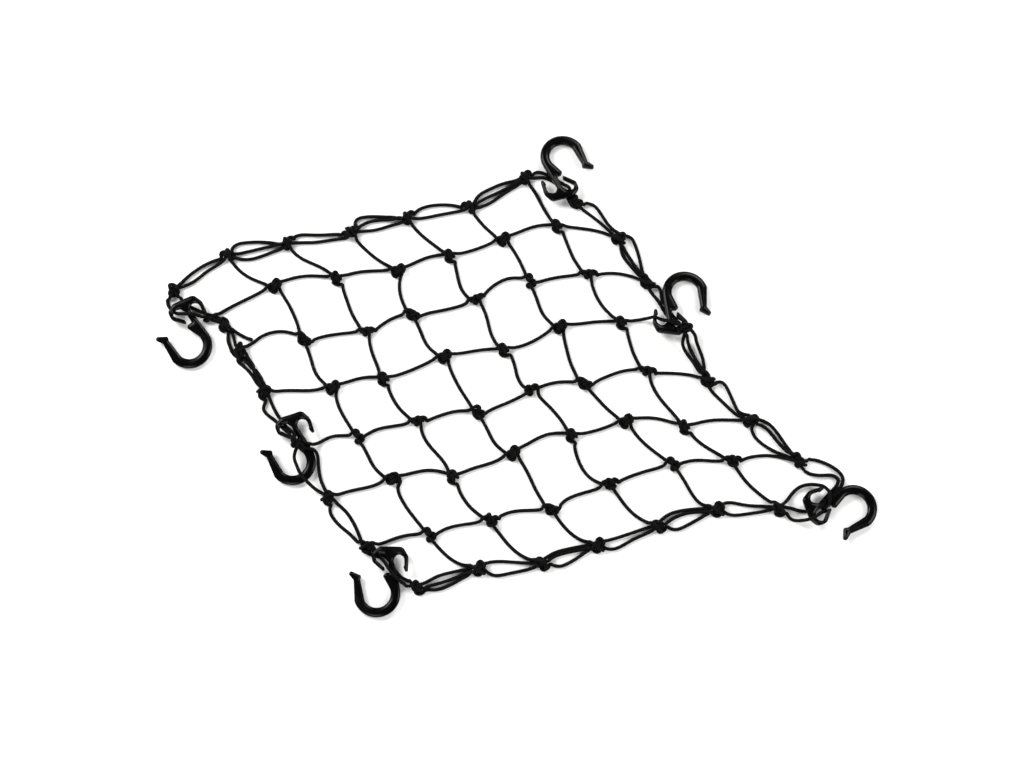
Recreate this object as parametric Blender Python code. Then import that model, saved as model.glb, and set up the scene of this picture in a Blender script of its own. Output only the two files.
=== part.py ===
"""Elastic cargo net: a square knotted mesh of round cord with a doubled border and six moulded hooks.

The net lies slack on a flat surface, sheared into a rhombus, its rows along +X and its upper faces
towards +Z. Lengths are in millimetres and angles in degrees, and become metres when an object is made.
"""
import math

import bmesh
import bpy
from mathutils import Euler, Matrix, Vector

mm = 0.001

# ---- driving dimensions ----
cells = 7                     # meshes along each side of the net
row_pitch = 57.6              # knot spacing along a row
column_pitch = 56.3           # knot spacing down a column
column_angle = -66.15         # direction of the columns: the slack net lies as a rhombus
middle = (7.5, 4.7)           # middle of the whole outline, moved to the origin
cord_radius = 1.6
gap = 0.35                    # air left between two solids that touch in the real net
lie = 2.6                     # height of a cord's middle between knots
knot_length = 12.0
knot_width = 10.0             # inner knots, across the cord
knot_height = 5.6
border_knot_width = 11.0
border_knot_height = 6.2
wide_part = 0.22              # the full width of a knot starts this share of its length off its middle
cord_sides = 5                # a flat side faces up, so that crossing cords rest level
hook_thickness = 5.5
hook_bevel = 0.7
hook_tilt = 5.2               # the eye end rests on the cord that runs under it
throat_outer = 21.6           # outer radius of the hook's round throat
throat_inner = 13.6

low = cord_radius + 0.1       # height of a cord that lies flat under a hook
touch = gap + cord_radius
over_knot = border_knot_height + touch

# How far each knot lies from its place in an even rhombus (x, y), one line for each row of the net.
drift = [
    ("row 0", (-7, -25), (-5, -1), (-4, -1), (0, -4), (1, 0), (5, -2), (7, 17), (-7, -17)),
    ("row 1", (6, -13), (11, 9), (13, 4), (16, -1), (10, 4), (8, 9), (4, 12), (3, -13)),
    ("row 2", (1, 4), (6, 2), (10, -3), (-2, 5), (5, 7), (2, 13), (2, 9), (-3, -11)),
    ("row 3", (-7, 9), (1, -1), (-8, -2), (-3, 7), (-4, 2), (-3, 13), (-2, 5), (-3, -16)),
    ("row 4", (-6, 0), (-7, -2), (-5, 2), (-5, -2), (-9, 10), (-15, 5), (-10, 4), (-14, -17)),
    ("row 5", (-12, -3), (-5, 2), (-8, -8), (-4, 2), (-4, 8), (-7, 10), (-12, -7), (-6, -14)),
    ("row 6", (-6, -6), (-5, -7), (-3, -5), (-3, -6), (0, 6), (5, 12), (4, 3), (7, -10)),
    ("row 7", (8, -3), (11, 3), (12, -5), (10, 1), (12, 7), (13, 11), (11, -1), (1, -9)),
]

# Hooks: middle of the throat and turn about +Z.
hooks = {
    "hook_top": ((112.5, 210.3), -16.1),
    "hook_right_upper": ((197.8, 46.9), -37.5),
    "hook_right_corner": ((304.4, -194.6), -102.1),
    "hook_left_corner": ((-281.8, 95.5), 173.7),
    "hook_left": ((-205.6, -39.1), 167.5),
    "hook_bottom": ((-152.0, -180.3), 147.7),
}

# Hook outline in its own plane, throat's middle at (0, 0), mouth towards +X, eye towards -Y.
# Columns: corner, x, y, corner radius.
foot = [
    ("arm meets foot", 24.6, -4.8, 1.5), ("foot tip, upper", 31.0, -8.4, 1.1),
    ("foot tip, lower", 30.5, -11.2, 1.1), ("heel, lower", 20.2, -10.5, 1.2),
    ("heel, upper", 19.7, -6.6, 1.0),
]
eye_and_finger = [
    ("neck stop, upper", 0.0, -17.6, 1.1), ("neck stop, lower", -0.8, -20.4, 1.1),
    ("eye, top", -5.0, -22.4, 1.4), ("eye, shank side", 1.8, -34.8, 3.0),
    ("eye, base side", 6.0, -37.6, 2.0), ("eye, far corner", 12.6, -36.4, 3.0),
    ("snap arm, inner bulge", 14.2, -30.2, 3.0), ("snap arm, inner tip", 2.4, -25.1, 1.1),
    ("snap arm, outer tip", 1.0, -21.8, 1.1), ("snap arm, shoulder", 14.6, -27.0, 5.0),
    ("snap arm, bulge", 17.8, -35.0, 5.0), ("base corner", 12.4, -42.3, 2.0),
    ("finger root", -7.4, -49.2, 4.5), ("finger side", -15.2, -42.6, 8.0),
    ("finger tip, outside", -19.6, -29.3, 1.1), ("finger tip, inside", -16.3, -29.5, 1.1),
    ("finger, inner side", -13.0, -42.0, 5.0), ("finger, inner root", -4.8, -43.4, 4.5),
    ("shank foot", -2.6, -35.2, 4.0), ("neck, outer side", -12.4, -20.8, 6.0),
]

# Colour, roughness, metallic.
finishes = {
    "cord": ((0.020, 0.020, 0.021, 1.0), 0.85, 0.0),
    "hook": ((0.012, 0.012, 0.013, 1.0), 0.28, 0.0),
}


def underside(y):
    """Height of a hook's underside at y in its plan: it rests on the outer edge of its throat."""
    return (throat_outer - y) * math.tan(math.radians(hook_tilt))


def topside(y):
    return underside(y) + hook_thickness / math.cos(math.radians(hook_tilt))


# Ways of a cord through a hook's eye, from the neck to the base corner, and flat below the hook.
# Columns: x and y in the hook's plan, height of the cord's middle.
under_neck = [(-13.5, -19.4, underside(-19.4) - touch), (-6.6, -22.8, underside(-20) - touch),
              (-1.4, -26.4, 3.0), (3.6, -30.6, 7.8)]
over_base = [(8.0, -34.4, 12.3), (10.8, -38.4, topside(-38.4) + touch + 0.1), (13.0, -43.0, topside(-43) + touch)]
under_base = [(16.4, -47.0, lie), (12.6, -41.0, underside(-38) - touch), (8.6, -36.2, underside(-34) - touch),
              (4.6, -32.2, 6.0), (0.8, -28.2, 11.2)]
over_neck = [(-3.6, -24.2, topside(-24) + touch + 0.3), (-9.0, -20.8, topside(-21) + touch),
             (-15.5, -17.6, topside(-18) + touch)]
below_hook = [(-19.5, -25.0, low), (-8.5, -30.0, low), (2.0, -37.5, low)]
below_to_base = below_hook + [(12.0, -47.5, low)]

# Stretches of the border that meet a hook, by side, strand and number of the knot they start from.
routes = {
    ("top", "knotted", 6): ("hook_top", below_hook),
    ("top", "free", 6): ("hook_top", [(-32.6, -22.2, over_knot), (-28.6, -18.4, 6.8), (-24.0, -16.6, 3.6),
                                      (-19.0, -17.0, 1.8)] + under_neck + over_base + [(15.4, -46.4, 10.4)]),
    ("right", "knotted", 2): ("hook_right_upper", [(-27.5, -12.5, lie), (-21.0, -16.8, 1.9)] + under_neck
                              + [(6.6, -32.2, 12.4)]),
    ("right", "free", 2): ("hook_right_upper", [(-35.0, -8.4, over_knot), (-31.2, -14.6, 6.0),
                                                (-26.5, -20.5, 2.4)] + below_to_base),
    ("right", "knotted", 3): ("hook_right_upper", [(25.0, -40.6, 12.0), (30.5, -45.5, 6.6), (37.5, -53.0, lie)]),
    ("right", "free", 3): ("hook_right_upper", [(22.0, -57.0, low), (33.0, -63.4, 2.8), (41.0, -66.6, 5.0),
                                                (46.6, -68.2, 7.4), (52.0, -69.1, over_knot)]),
    ("bottom", "knotted", 6): ("hook_right_corner", [(10.6, -60.0, lie), (12.6, -54.5, 5.2), (13.2, -48.6, 10.6)]
                               + over_base[::-1] + under_neck[::-1]
                               + [(-19.0, -15.6, 1.7), (-26.0, -12.0, lie), (-33.0, -11.6, lie),
                                  (-40.0, -17.0, lie), (-45.5, -28.0, lie), (-47.6, -38.0, lie)]),
    ("bottom", "free", 6): ("hook_right_corner", [(1.6, -67.5, over_knot), (0.6, -62.0, 6.8), (1.2, -55.5, 3.0),
                                                  (3.0, -46.0, low)] + below_hook[::-1]
                            + [(-27.0, -20.6, low), (-32.0, -25.0, lie), (-34.0, -36.0, lie),
                               (-37.5, -43.0, 5.0), (-41.5, -47.4, over_knot)]),
    ("left", "knotted", 0): ("hook_left_corner", under_base + over_neck + [(-19.6, -20.0, 9.4),
                                                                           (-22.4, -24.0, 5.8)]),
    ("left", "free", 0): ("hook_left_corner", [(9.8, -56.0, over_knot), (8.6, -51.5, 5.6), (7.2, -46.5, 2.2),
                                               (2.0, -37.5, low), (-8.5, -30.0, low), (-16.0, -24.6, low),
                                               (-21.5, -19.0, low), (-26.0, -13.6, low)]),
    ("left", "free", 1): ("hook_left_corner", [(-32.0, -5.0, lie), (-38.0, 1.0, 4.4), (-42.5, 4.6, 7.0),
                                               (-46.0, 7.2, over_knot)]),
    ("left", "knotted", 3): ("hook_left", [(20.0, -53.0, lie)] + under_base + [(-3.4, -24.8, 12.2)]),
    ("left", "free", 3): ("hook_left", [(28.8, -65.0, over_knot), (30.6, -60.0, 7.0), (30.8, -53.6, 3.2),
                                        (27.0, -46.2, lie), (19.0, -38.4, 2.0), (9.0, -31.6, low),
                                        (-2.0, -28.4, low), (-11.0, -27.0, low), (-19.5, -23.0, low)]),
    ("left", "knotted", 4): ("hook_left", [(-5.8, -6.0, 9.8), (-4.6, 3.0, 7.8), (-8.0, 11.5, 8.4),
                                           (-14.5, 17.6, 8.0), (-22.0, 24.0, 4.6), (-26.5, 28.0, lie)]),
    ("left", "free", 4): ("hook_left", [(-23.8, -9.5, low), (-24.8, 4.0, low), (-28.0, 17.0, 2.4),
                                        (-30.6, 25.0, 5.6), (-32.8, 30.8, over_knot)]),
    ("left", "knotted", 6): ("hook_bottom", [(12.0, -34.6, 2.9), (8.0, -32.8, 4.4), (3.8, -30.2, 8.0),
                                             (0.4, -27.4, 11.0)] + over_neck
                             + [(-19.0, -17.4, 9.0), (-22.4, -17.6, 5.8), (-25.2, -17.8, 3.8)]),
    ("left", "free", 6): ("hook_bottom", [(21.0, -39.9, 8.5), (17.9, -41.9, 6.2), (15.0, -41.4, 3.0),
                                          (12.0, -39.0, low), (4.0, -36.0, low), (-8.5, -30.0, low), (-19.5, -25.0, low),
                                          (-26.4, -22.8, low)]),
}

# Knots that lie on a hook or close against one: hook, x, y and axis in its plan, level, height.
resting_knots = {
    ("top", 7): ("hook_top", 15.4, -45.6, -42.0, 0.0, 5.0),
    ("right", 3): ("hook_right_upper", 14.7, -35.6, -25.0, topside(-36) + gap, border_knot_height),
    ("left", 1): ("hook_left_corner", -29.6, -23.6, 150.0, 0.0, border_knot_height),
    ("left", 4): ("hook_left", -8.0, -17.0, 96.0, topside(-19.5) + gap, border_knot_height),
    ("left", 6): ("hook_bottom", 24.0, -38.3, 163.0, 0.0, 5.6),
}

# Last stretches of the rows that end at a knot on a hook or close against one.
row_ends = {
    ("start", 6): ("hook_bottom", [(18.0, -45.8, lie)]),
    ("start", 4): ("hook_left", [(-15.0, -17.8, 12.0), (-20.0, -18.6, 10.2), (-26.0, -19.6, 6.0),
                                 (-32.0, -20.2, 3.2)]),
    ("end", 3): ("hook_right_upper", [(-31.0, -50.6, lie), (-22.5, -48.4, 7.4), (-15.5, -46.2, 13.4),
                                      (-6.0, -43.4, 13.6), (7.2, -39.2, 13.3)]),
}

# Other stretches of the border, by the knot they start from: how far the knotted strand bows
# inwards and the free strand bows outwards. None is a stretch that routes takes past a hook.
bows = {
    "top": [(3, 5), (5, 7), (3, 5), (2, 9), (5, 7), (4, 8), None],
    "right": [(0, 9), (6, 8), None, None, (4, 6), (6, 5)],
    "bottom": [(3, 7), (0, 8), (4, 8), (1, 6), (5, 5), (3, 4), None],
    "left": [None, (0, 5), (1, 5), None, None, (8, 6), None],
}


def make_material(name, kind):
    colour, roughness, metallic = finishes[kind]
    material = bpy.data.materials.new(name)
    material.use_nodes = True
    shader = material.node_tree.nodes["Principled BSDF"]
    shader.inputs["Base Color"].default_value = colour
    shader.inputs["Roughness"].default_value = roughness
    shader.inputs["Metallic"].default_value = metallic
    material.diffuse_color = colour
    return material


def add_object(name, data, kind):
    body = bpy.data.objects.new(name, data)
    data.materials.append(make_material(name, kind))
    parts.objects.link(body)
    return body


# ---- cords ----
def unit(angle):
    return Vector((math.cos(math.radians(angle)), math.sin(math.radians(angle)), 0))


def heading(a, b):
    return math.degrees(math.atan2(b[1] - a[1], b[0] - a[0]))


def flat(p):
    return Vector((p[0], p[1], 0))


def ease(t):
    t = min(max(t, 0.0), 1.0)
    return t * t * (3 - 2 * t)


def swing(a, b, leave, arrive, t):
    """Place on a smooth stretch of cord with a given direction at each end."""
    reach = (b - a).length * 0.36
    p, q, s = a + unit(leave) * reach, b - unit(arrive) * reach, 1 - t
    return s ** 3 * a + 3 * s * s * t * p + 3 * s * t * t * q + t ** 3 * b


def ring(x, y, z, half_width=cord_radius, half_height=cord_radius):
    return Vector((x, y, z)), half_width, half_height


def rings_at(points):
    return [ring(*p) for p in points]


def knotted_cord(name, rings):
    """Loft through unlike sections: round cord between the knots, wide and flat at each knot."""
    shape = bmesh.new()
    loops = []
    last = len(rings) - 1
    for i, (centre, half_width, half_height) in enumerate(rings):
        ahead = (rings[min(i + 1, last)][0] - rings[max(i - 1, 0)][0]).normalized()
        side = ahead.cross(Vector((0, 0, 1))).normalized()
        up = side.cross(ahead).normalized()
        loop = []
        for k in range(cord_sides):
            angle = 2 * math.pi * k / cord_sides - math.pi / 2
            corner = centre + side * (half_width * math.cos(angle)) + up * (half_height * math.sin(angle))
            loop.append(shape.verts.new(corner * mm))
        loops.append(loop)
    for near, far in zip(loops, loops[1:]):
        for k in range(cord_sides):
            n = (k + 1) % cord_sides
            shape.faces.new((near[k], near[n], far[n], far[k]))
    shape.faces.new(loops[0])
    shape.faces.new(reversed(loops[-1]))
    bmesh.ops.recalc_face_normals(shape, faces=shape.faces)
    bmesh.ops.triangulate(shape, faces=shape.faces)
    mesh = bpy.data.meshes.new(name)
    shape.to_mesh(mesh)
    shape.free()
    return add_object(name, mesh, "cord")


def plain_cord(name, rings):
    """Tube along a curve, a little thicker where a ring asks for it."""
    curve = bpy.data.curves.new(name, "CURVE")
    curve.dimensions = "3D"
    curve.bevel_depth = cord_radius * mm
    curve.bevel_resolution = 1
    curve.use_fill_caps = True
    spline = curve.splines.new("POLY")
    spline.points.add(len(rings) - 1)
    for point, (centre, half_width, _) in zip(spline.points, rings):
        point.co = (*(centre * mm), 1.0)
        point.radius = half_width / cord_radius
    return add_object(name, curve, "cord")


def barrel(place, axis, width, height, level=0.0):
    """Rings of a knot: thick and flat, rounded off at both ends."""
    half_height = height / (1 + math.cos(math.pi / cord_sides))
    half_width = width / 2 / math.cos(math.pi / 2 / cord_sides)
    rings = []
    for along, wide in ((-0.5, False), (-wide_part, True), (wide_part, True), (0.5, False)):
        p = place + axis * (knot_length * along)
        size = (half_width, half_height) if wide else (cord_radius, cord_radius)
        rings.append(ring(p.x, p.y, level + half_height, *size))
    return rings


def stand_off(turn):
    """How far from a border knot's middle a cord ends that meets it at an angle to its axis."""
    along, across = math.cos(math.radians(turn)), math.sin(math.radians(turn))
    reach, longest = 4.0, 14.0
    while reach < longest:
        reach += 0.1
        clear = True
        for side in (-cord_radius, 0, cord_radius):
            u = abs(reach * along - side * across)
            v = abs(reach * across + side * along)
            taper = ease((u / knot_length - wide_part) / (0.5 - wide_part))
            width = border_knot_width / 2 + (cord_radius - border_knot_width / 2) * taper
            clear = clear and (u > knot_length / 2 + gap or v > width + 2.5 * gap)
        if clear:
            break
    return reach


# ---- the lattice of knots ----
def lattice():
    step = unit(column_angle) * column_pitch
    knots = []
    for i, (_, *shifts) in enumerate(drift):
        row = []
        for j, (dx, dy) in enumerate(shifts):
            even = Vector(((j - cells / 2) * row_pitch, 0, 0)) + step * (i - cells / 2)
            row.append(Vector((even.x + dx - middle[0], even.y + dy - middle[1], 0)))
        knots.append(row)
    knots[0][cells] = resting_place(("top", 7))
    knots[3][cells] = resting_place(("right", 3))
    for i in (1, 4, 6):
        knots[i][0] = resting_place(("left", i))
    return knots


def resting_place(knot):
    hook, x, y = resting_knots[knot][:3]
    return flat(on_hook(hook, [(x, y, 0)])[0])


def crosswise(i, j):
    """Neighbouring knots of a hand-tied net lie alternately along the row and across it."""
    return (i + j) % 2 == 1


def row_cord(i):
    """A row cord with its knots. It stops just short of the border knots at both ends."""
    row = knots[i]
    if ("start", i) in row_ends:
        rings = rings_at(on_hook(*row_ends[("start", i)]))
    else:
        first = heading(row[0], row[1])
        p = row[0] + unit(first) * stand_off(first - axes[("left", i)])
        rings = [ring(p.x, p.y, lie)]
    for j in range(1, cells):
        before, here, after = row[j - 1], row[j], row[j + 1]
        chord_in, chord_out = heading(before, here), heading(here, after)
        axis = unit((chord_in + chord_out) / 2 + (0 if crosswise(i, j) else 6))
        start = flat(rings[-1][0])
        arrive = chord_in + (-20 if crosswise(i, j) else 5)
        leave = heading(start, here) if j == 1 else chord_in + (20 if crosswise(i, j) else -10)
        entry = here - axis * (knot_length / 2)
        for t in (0.32, 0.68):
            p = swing(start, entry, leave, arrive, t)
            rings.append(ring(p.x, p.y, lie))
        rings += barrel(here, axis, knot_width, knot_height)
    if ("end", i) in row_ends:
        rings += rings_at(on_hook(*row_ends[("end", i)]))
    else:
        start, last_knot = flat(rings[-1][0]), row[cells]
        last = heading(start, last_knot)
        end = last_knot - unit(last) * stand_off(last - axes[("right", i)])
        for t in (0.32, 0.68, 1.0):
            p = swing(start, end, last + 8, last - 8, t)
            rings.append(ring(p.x, p.y, lie))
    knotted_cord("row_cord_%d" % i, rings)


def column_cord(j):
    """A column cord: it runs over the knot of every row and swings along the row before it."""
    column = [row[j] for row in knots]
    over = knot_height + touch
    leave = heading(column[0], column[1])
    p = column[0] + unit(leave) * stand_off(leave - axes[("top", j)])
    rings = [ring(p.x, p.y, lie)]
    for i in range(1, cells):
        here, start = column[i], flat(rings[-1][0])
        chord_in, chord_out = heading(column[i - 1], here), heading(here, column[i + 1])
        if crosswise(i, j):
            entry, exit_place = here + Vector((-2.5, 6.5, 0)), here + Vector((3.0, -7.0, 0))
            arrive, leave_next = chord_in - 6, chord_out - 10
        else:
            entry, exit_place = here + Vector((-5.0, 5.6, 0)), here + Vector((1.5, -7.0, 0))
            arrive, leave_next = chord_in + 22, chord_out + 8
        for t in (0.26, 0.56, 0.82):
            p = swing(start, entry, leave, arrive, t)
            rise = ease((t - 0.6) / 0.36)
            fall = 0.0 if i == 1 else 1 - ease(t / 0.34)
            rings.append(ring(p.x, p.y, lie + (over - lie) * max(rise, fall)))
        rings.append(ring(entry.x, entry.y, over))
        rings.append(ring(here.x, here.y, over + 0.6, 2.2))
        rings.append(ring(exit_place.x, exit_place.y, over))
        leave = leave_next
    start = flat(rings[-1][0])
    last = heading(start, column[cells])
    end = column[cells] - unit(last) * stand_off(last - axes[("bottom", j)])
    for t in (0.3, 0.64, 1.0):
        p = swing(start, end, leave, last + 12, t)
        rings.append(ring(p.x, p.y, lie + (over - lie) * (1 - ease(t / 0.5))))
    plain_cord("column_cord_%d" % j, rings)


# ---- hooks ----
def hook_placement(hook):
    """Place of the hook's plan on the surface, and its turn and tilt."""
    (x, y), turn = hooks[hook]
    lift = throat_outer * math.sin(math.radians(hook_tilt))
    rotation = Euler((-math.radians(hook_tilt), 0, math.radians(turn)))
    return Vector((x - middle[0], y - middle[1], lift)), rotation


def on_hook(hook, points):
    """Places of points given by x and y in a hook's plan and plain height z."""
    place, rotation = hook_placement(hook)
    placed = []
    for x, y, z in points:
        p = place + rotation.to_matrix() @ Vector((x, y, 0))
        placed.append(Vector((p.x, p.y, z)))
    return placed


def arc(radius, start, end, step=9.0):
    count = max(2, round(abs(end - start) / step))
    angles = [start + (end - start) * k / count for k in range(count + 1)]
    return [Vector((radius * math.cos(math.radians(a)), radius * math.sin(math.radians(a)))) for a in angles]


def rounded(corners, before, after):
    """Corner rows to points, each corner rounded off with its own radius."""
    line = [(before, 0)] + [(Vector((x, y)), radius) for _, x, y, radius in corners] + [(after, 0)]
    points = []
    for k in range(1, len(line) - 1):
        a, b, c = line[k - 1][0], line[k][0], line[k + 1][0]
        u, v = (a - b).normalized(), (c - b).normalized()
        half = math.acos(u.dot(v)) / 2
        reach = min(line[k][1] / math.tan(half), 0.49 * (a - b).length, 0.49 * (c - b).length)
        radius = reach * math.tan(half)
        centre = b + (u + v).normalized() * (radius / math.sin(half))
        start, turn = b + u * reach - centre, (b + v * reach - centre).angle_signed(b + u * reach - centre)
        steps = max(1, math.ceil(abs(turn) / math.radians(36)))
        for s in range(steps + 1):
            points.append(centre + Matrix.Rotation(turn * s / steps, 2) @ start)
    return points


def hook_outline():
    outer = arc(throat_outer, 212, 40)
    inner = arc(throat_inner, 49, 220)
    return outer + rounded(foot, outer[-1], inner[0]) + inner + rounded(eye_and_finger, inner[-1], outer[0])


def make_hook(name):
    outline = hook_outline()
    curve = bpy.data.curves.new(name, "CURVE")
    curve.dimensions = "2D"
    curve.fill_mode = "BOTH"
    curve.bevel_depth = hook_bevel * mm
    curve.bevel_resolution = 0
    curve.offset = -hook_bevel * mm
    curve.extrude = (hook_thickness / 2 - hook_bevel) * mm
    spline = curve.splines.new("POLY")
    spline.points.add(len(outline) - 1)
    spline.use_cyclic_u = True
    for point, place in zip(spline.points, outline):
        point.co = (place.x * mm, place.y * mm, 0, 1)
    hook = add_object(name, curve, "hook")
    place, rotation = hook_placement(name)
    hook.location = (place + rotation.to_matrix() @ Vector((0, 0, hook_thickness / 2))) * mm
    hook.rotation_euler = rotation
    return hook


# ---- border ----
def route(side, strand, k):
    """The places of a stretch past a hook, or an empty list for any other stretch."""
    return on_hook(*routes[(side, strand, k)]) if (side, strand, k) in routes else []


def border_lines():
    """The border knots of each side, in order. The right corner's hook sits where no knot is."""
    return {"top": knots[0], "right": [row[cells] for row in knots[:cells]],
            "bottom": knots[cells][:cells] + [knots[cells - 1][cells]], "left": [row[0] for row in knots]}


def border_axes():
    """Direction of every border knot: along the two stretches that meet in it."""
    found = {}
    for side, line in lines.items():
        for k, place in enumerate(line):
            before = ([line[max(k - 1, 0)]] + route(side, "knotted", k - 1))[-1]
            after = (route(side, "knotted", k) + [line[min(k + 1, len(line) - 1)]])[0]
            found[(side, k)] = heading(before, after)
    for knot, (hook, _, _, turn, _, _) in resting_knots.items():
        found[knot] = turn + hooks[hook][1]
    found[("right", 0)], found[("left", 0)] = found[("top", cells)], found[("top", 0)]
    found[("left", cells)], found[("bottom", cells)] = found[("bottom", 0)], found[("right", cells - 1)]
    return found


def bowed(a, b, bow, shares, height):
    """Cord between two places, bowed sideways: positive bows to the left of the direction of travel."""
    side = unit(heading(a, b) + 90)
    rings = []
    for t in shares:
        p = flat(a).lerp(flat(b), t) + side * (bow * 4 * t * (1 - t))
        rings.append(ring(p.x, p.y, height(t)))
    return rings


def knotted_side(side, first_knot, last_knot):
    """Border strand that carries the knots of one side. A corner knot belongs to one side only."""
    line = lines[side]
    inward = -1 if side in ("top", "right") else 1
    end = len(line) - 1
    rings = []
    for k, place in enumerate(line):
        way = route(side, "knotted", k)
        if 0 < k < end or (k == 0 and first_knot) or (k == end and last_knot):
            _, _, _, _, level, height = resting_knots.get((side, k), (0, 0, 0, 0, 0.0, border_knot_height))
            rings += barrel(place, unit(axes[(side, k)]), border_knot_width, height, level)
        elif k == 0:
            turn = heading(place, (way + [line[1]])[0])
            p = place + unit(turn) * stand_off(turn - axes[(side, 0)])
            rings.append(ring(p.x, p.y, lie))
        if way:
            rings += rings_at(way)
        elif k < end:
            stop = line[k + 1] - unit(axes[(side, k + 1)]) * (knot_length / 2)
            rings += bowed(flat(rings[-1][0]), stop, inward * bows[side][k][0], (0.25, 0.5, 0.75), lambda t: lie)
    if not last_knot:
        turn = heading(rings[-1][0], line[end])
        p = line[end] - unit(turn) * stand_off(turn - axes[(side, end)])
        rings.append(ring(p.x, p.y, lie))
    knotted_cord("border_%s_knotted" % side, rings)


def free_side(side, first, last):
    """Border strand without knots. It passes over the knots and bows outwards between them."""
    line = lines[side]
    outward = 1 if side in ("top", "right") else -1
    spans = len(line) - 1
    rings = []
    for k in range(spans):
        way = route(side, "free", k)
        if way:
            rings += rings_at(way)
            continue
        a, b = line[k], line[k + 1]
        length = (b - a).length
        inner_bow, outer_bow = bows[side][k]
        clear = next(s for s in range(6, 30)
                     if 4 * (inner_bow + outer_bow) * s / length * (1 - s / length) > 2 * cord_radius + gap)

        def height(t):
            from_knot = min(t, 1 - t) * length
            return lie + (over_knot - lie) * (1 - ease((from_knot - clear + 2) / 9.0))

        near, far = (3.0 if k else first), (3.0 if k + 1 < spans else last)
        stops = [near, max(clear - 1, near + 3), clear + 6, length / 2, length - clear - 6,
                 length - max(clear - 1, far + 3), length - far]
        rings += bowed(a, b, outward * outer_bow, [s / length for s in stops], height)
    plain_cord("border_%s_free" % side, rings)


for old in list(bpy.data.objects):
    bpy.data.objects.remove(old, do_unlink=True)
parts = bpy.data.collections.new("cargo_net")
bpy.context.scene.collection.children.link(parts)

knots = lattice()
lines = border_lines()
axes = border_axes()
for name in hooks:
    make_hook(name)
for number in range(1, cells):
    row_cord(number)
    column_cord(number)
# Side, whether its strand carries the first and the last knot.
for side, first_knot, last_knot in (("top", True, True), ("right", False, True), ("bottom", True, False),
                                    ("left", False, False)):
    knotted_side(side, first_knot, last_knot)
# Side, distance of the free strand's two ends from the middles of the corner knots.
for side, first, last in (("top", 1.0, 1.0), ("right", 3.5, 0.5), ("bottom", 1.0, 1.0), ("left", 3.0, 1.0)):
    free_side(side, first, last)
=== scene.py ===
import math

import bmesh
import bpy
import numpy as np
from mathutils import Euler, Matrix, Vector
from mathutils.kdtree import KDTree


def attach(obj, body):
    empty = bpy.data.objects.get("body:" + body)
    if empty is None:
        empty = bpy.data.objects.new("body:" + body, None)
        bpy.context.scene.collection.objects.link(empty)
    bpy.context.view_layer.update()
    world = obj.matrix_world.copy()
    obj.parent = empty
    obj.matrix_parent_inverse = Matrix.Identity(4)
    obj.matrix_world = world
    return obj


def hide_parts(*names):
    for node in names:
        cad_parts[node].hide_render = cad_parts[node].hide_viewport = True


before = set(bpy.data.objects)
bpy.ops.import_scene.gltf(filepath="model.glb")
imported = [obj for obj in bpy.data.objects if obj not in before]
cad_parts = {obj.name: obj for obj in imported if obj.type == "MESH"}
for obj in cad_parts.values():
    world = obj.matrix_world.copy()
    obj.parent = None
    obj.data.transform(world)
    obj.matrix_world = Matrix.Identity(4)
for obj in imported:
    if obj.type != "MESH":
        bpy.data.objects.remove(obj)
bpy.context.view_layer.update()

# Lengths are millimetres until a mesh is made.
mm = 0.001

net = {
    "cells": 7,  # meshes along each side
    "rowPitch": 57.6,
    "columnPitch": 56.3,
    "columnAngle": -66.15,  # the slack net lies as a rhombus
    "middle": (7.5, 4.7),
    "tableTurn": -12.15,  # the view's own axes, seen from the net's
    "tableMiddle": (-15.6, 3.0),
}

# How far each knot lies from its place in an even rhombus, a line for each row of the net.
drift = [
    [(-7, -25), (-5, -1), (-4, -1), (0, -4), (1, 0), (5, -2), (7, 17), (-7, -17)],
    [(6, -13), (11, 9), (13, 4), (16, -1), (10, 4), (8, 9), (4, 12), (3, -13)],
    [(1, 4), (6, 2), (10, -3), (-2, 5), (5, 7), (2, 13), (2, 9), (-3, -11)],
    [(-7, 9), (1, -1), (-8, -2), (-3, 7), (-4, 2), (-3, 13), (-2, 5), (-3, -16)],
    [(-6, 0), (-7, -2), (-5, 2), (-5, -2), (-9, 10), (-15, 5), (-10, 4), (-14, -17)],
    [(-12, -3), (-5, 2), (-8, -8), (-4, 2), (-4, 8), (-7, 10), (-12, -7), (-6, -14)],
    [(-6, -6), (-5, -7), (-3, -5), (-3, -6), (0, 6), (5, 12), (4, 3), (7, -10)],
    [(8, -3), (11, 3), (12, -5), (10, 1), (12, 7), (13, 11), (11, -1), (1, -9)],
]

cord = {
    "radius": 1.6,  # where two cords press on each other
    "sheath": 1.7,  # where the braid stands free
    "sides": 10,
    "ringSpacing": 1.05,
    "tipWidth": 0.72,  # share of the width that a cut end keeps
    "tipLength": 0.3,
    "lie": 1.75,  # height of the middle of a cord that lies on the table
    "nodeSpacing": 1.6,  # of the settling
    "curveStep": 0.5,
    "leastStep": 0.4,  # points closer than this are left out of a curve
    "swing": 0.36,  # how far a mesh cord keeps the direction that its knot gives it
    "swingPoints": 60,
}

hookPlaces = {  # middle of the throat and turn
    "top": ((112.5, 210.3), -16.1),
    "right_upper": ((197.8, 46.9), -37.5),
    "right_corner": ((304.4, -194.6), -102.1),
    "left_corner": ((-281.8, 95.5), 173.7),
    "left": ((-205.6, -39.1), 167.5),
    "bottom": ((-152.0, -180.3), 147.7),
}

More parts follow.
